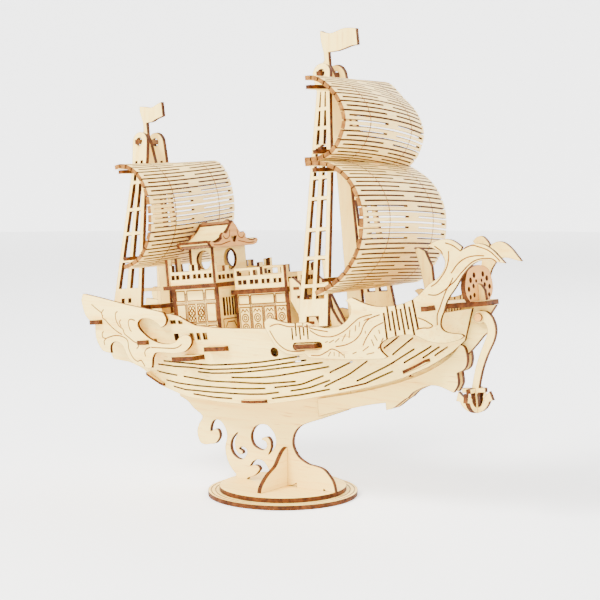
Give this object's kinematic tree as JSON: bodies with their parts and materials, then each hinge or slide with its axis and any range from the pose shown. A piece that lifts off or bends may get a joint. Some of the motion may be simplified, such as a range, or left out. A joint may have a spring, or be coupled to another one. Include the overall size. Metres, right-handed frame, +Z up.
{
  "type": "wooden 3d puzzle ship",
  "caption": "Slotted laser-cut plywood sailing ship puzzle with two masts, belly sails, cabins and a swinging anchor, on a round disc stand.",
  "frame": {"origin": "centre of the round base's underside, on the surface it stands on", "axes": "+X towards the bow, +Z up, +Y towards the ship's port side"},
  "size_m": [0.2053, 0.065, 0.1983],
  "materials": {
    "birch_face": "bare",
    "birch_inner": "bare",
    "burnt_birch": "bare, laser-darkened"
  },
  "bodies": {
    "ship": {"base_lower_disc": "birch_face", "base_upper_disc": "birch_face", "stand_cross_plate": "birch_inner", "keel_stand_board": "birch_face", "keel_bow_board": "birch_face", "bow_wave_plates": "birch_face", "bottom_sheet": "birch_inner", "main_deck": "birch_face", "hull_frames": "birch_inner", "hull_side_starboard": "birch_face", "hull_side_port": "birch_face", "channel_beam": "birch_inner", "stern_beam": "birch_inner", "poop_deck": "birch_face", "transom": "birch_inner", "stern_wave_starboard": "birch_face", "stern_wave_port": "birch_face", "bow_wing_starboard": "birch_face", "bow_wing_port": "birch_face", "fore_deck": "birch_face", "figurehead_panel": "burnt_birch", "figurehead_rib": "birch_face", "foredeck_post": "birch_face", "aft_side_walls": "birch_face", "aft_wall_front": "birch_inner", "aft_wall_back": "birch_inner", "aft_gallery_floor": "birch_inner", "aft_side_rails": "birch_face", "aft_rail_front": "birch_face", "aft_rail_back": "birch_inner", "fore_side_walls": "birch_face", "fore_wall_front": "birch_inner", "fore_wall_back": "birch_inner", "fore_gallery_floor": "birch_inner", "fore_side_rails": "birch_face", "fore_rail_front": "birch_inner", "pavilion_side_walls": "birch_face", "pavilion_end_walls": "birch_inner", "roof_slopes": "birch_face", "roof_eaves": "burnt_birch", "roof_gables": "birch_inner", "roof_ridge": "burnt_birch", "stair_stringers": "birch_face", "stair_treads": "birch_inner", "mast_knee": "birch_inner", "main_mast_plate": "birch_inner", "mizzen_mast_plate": "birch_inner", "mast_pegs": "burnt_birch", "mizzen_step": "birch_inner", "main_shrouds": "birch_face", "mizzen_shrouds": "birch_face", "main_yards": "birch_inner", "mizzen_yards": "birch_inner", "main_upper_sail": "birch_face", "main_lower_sail": "birch_face", "mizzen_sail": "birch_face", "anchor_peg": "burnt_birch"},
    "anchor": {"anchor_hanger": "birch_face", "anchor_cross": "birch_face"}
  },
  "joints": [
    {"name": "anchor_swing", "type": "hinge", "parent": "ship", "child": "anchor", "pos_m": [0.09714, -0.0023, 0.08322], "axis": [0, 1, 0], "range_deg": [-40, 3]}
  ]
}
